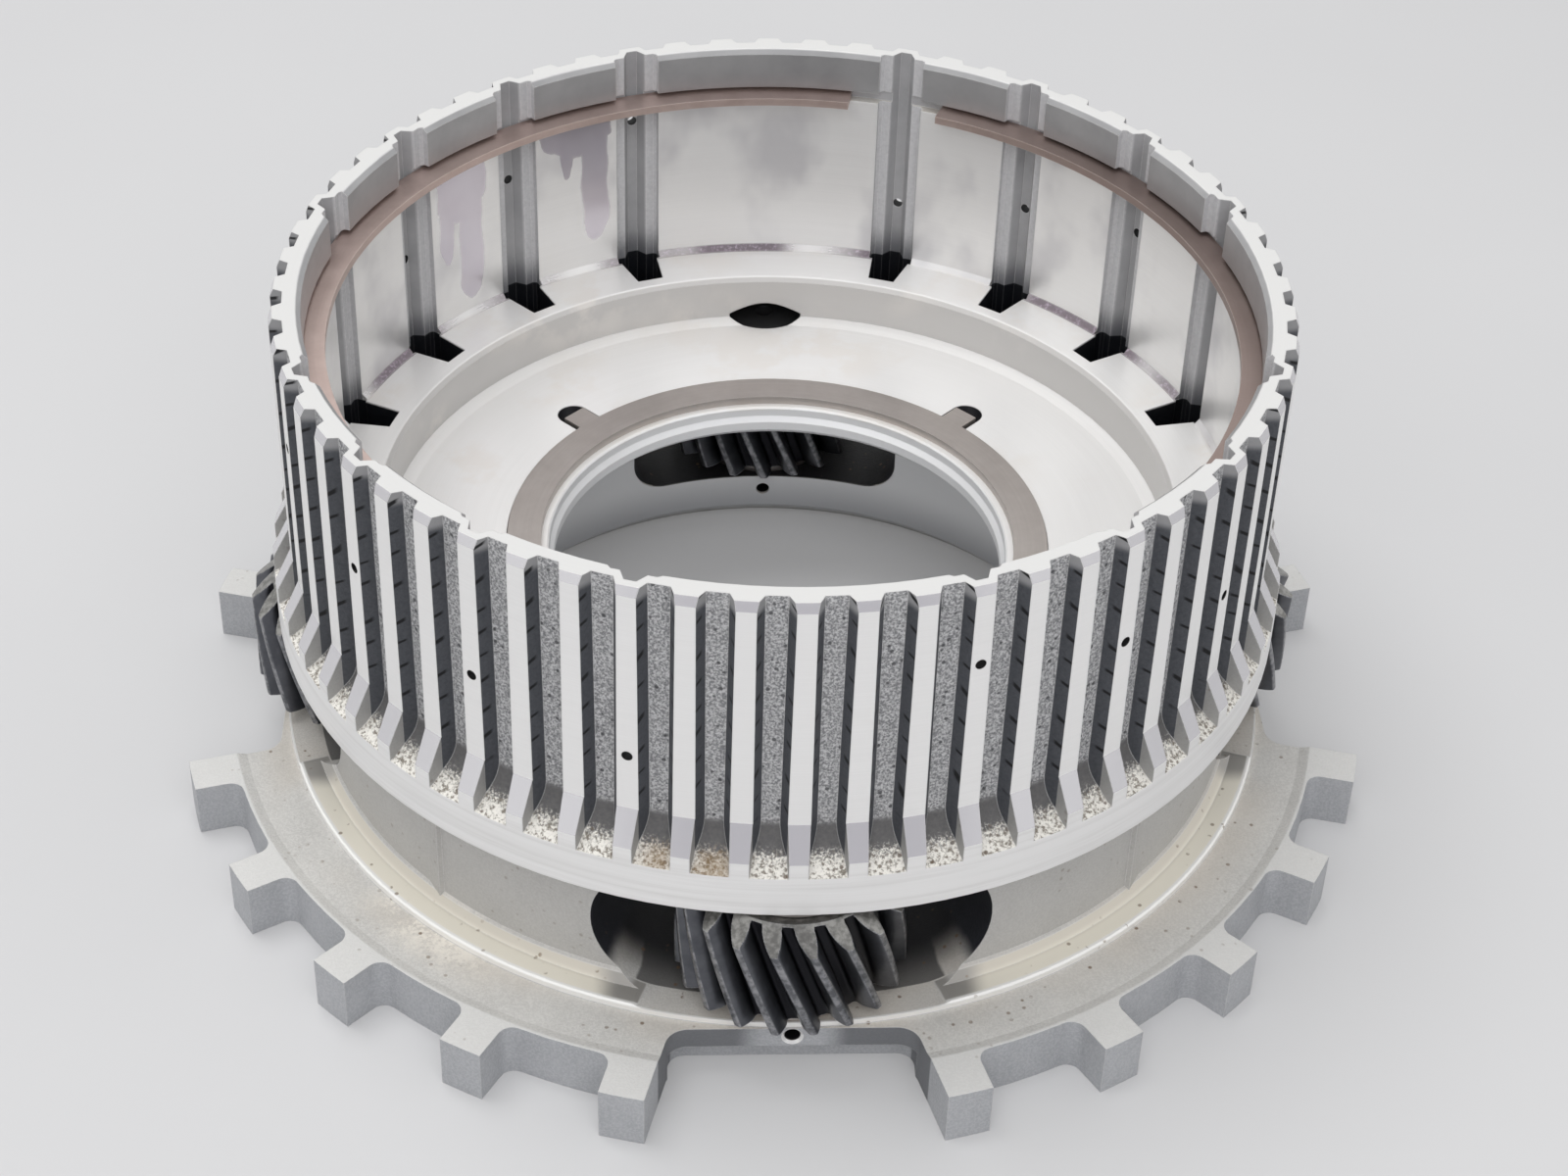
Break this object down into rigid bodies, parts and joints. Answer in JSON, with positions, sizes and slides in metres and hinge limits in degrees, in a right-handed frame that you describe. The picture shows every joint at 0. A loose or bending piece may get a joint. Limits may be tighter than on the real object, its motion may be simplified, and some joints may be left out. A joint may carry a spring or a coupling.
{
  "type": "planetary gear carrier with clutch drum",
  "caption": "Die-cast planetary gear carrier with a splined clutch drum, windows that hold helical planet gears on pins, drive lugs round its flange, a thrust washer and a snap ring.",
  "frame": {"origin": "centre of the flange's bottom face, on the carrier's axis", "axes": "+Z along the carrier's axis, from the lugged flange towards the drum's open end; +X through the pin of the first planet gear"},
  "size_m": [0.1852, 0.1852, 0.0844],
  "materials": {
    "cast_aluminium": "as cast with machined lands, faces and bores",
    "gear_steel": "dark case-hardened, ground flanks",
    "bearing_steel": "ground",
    "washer_steel": "lapped",
    "spring_steel": "oiled spring steel with a brown tint"
  },
  "bodies": {
    "carrier": {"carrier_drum": "cast_aluminium", "snap_ring": "spring_steel", "thrust_washer": "washer_steel", "planet_pin_1": "bearing_steel", "planet_washer_lower_1": "washer_steel", "planet_washer_upper_1": "washer_steel", "pin_dowel_1": "bearing_steel", "planet_pin_2": "bearing_steel", "planet_washer_lower_2": "washer_steel", "planet_washer_upper_2": "washer_steel", "pin_dowel_2": "bearing_steel", "planet_pin_3": "bearing_steel", "planet_washer_lower_3": "washer_steel", "planet_washer_upper_3": "washer_steel", "pin_dowel_3": "bearing_steel", "planet_pin_4": "bearing_steel", "planet_washer_lower_4": "washer_steel", "planet_washer_upper_4": "washer_steel", "pin_dowel_4": "bearing_steel"},
    "planet_1": {"planet_gear_1": "gear_steel", "needle_rollers_1": "bearing_steel"},
    "planet_2": {"planet_gear_2": "gear_steel", "needle_rollers_2": "bearing_steel"},
    "planet_3": {"planet_gear_3": "gear_steel", "needle_rollers_3": "bearing_steel"},
    "planet_4": {"planet_gear_4": "gear_steel", "needle_rollers_4": "bearing_steel"}
  },
  "joints": [
    {"name": "planet_1_spin", "type": "hinge", "parent": "carrier", "child": "planet_1", "pos_m": [0.06632, 0, 0.021], "axis": [0, 0, 1], "continuous": true},
    {"name": "planet_2_spin", "type": "hinge", "parent": "carrier", "child": "planet_2", "pos_m": [0, 0.06632, 0.021], "axis": [0, 0, 1], "continuous": true},
    {"name": "planet_3_spin", "type": "hinge", "parent": "carrier", "child": "planet_3", "pos_m": [-0.06632, 0, 0.021], "axis": [0, 0, 1], "continuous": true},
    {"name": "planet_4_spin", "type": "hinge", "parent": "carrier", "child": "planet_4", "pos_m": [0, -0.06632, 0.021], "axis": [0, 0, 1], "continuous": true}
  ]
}
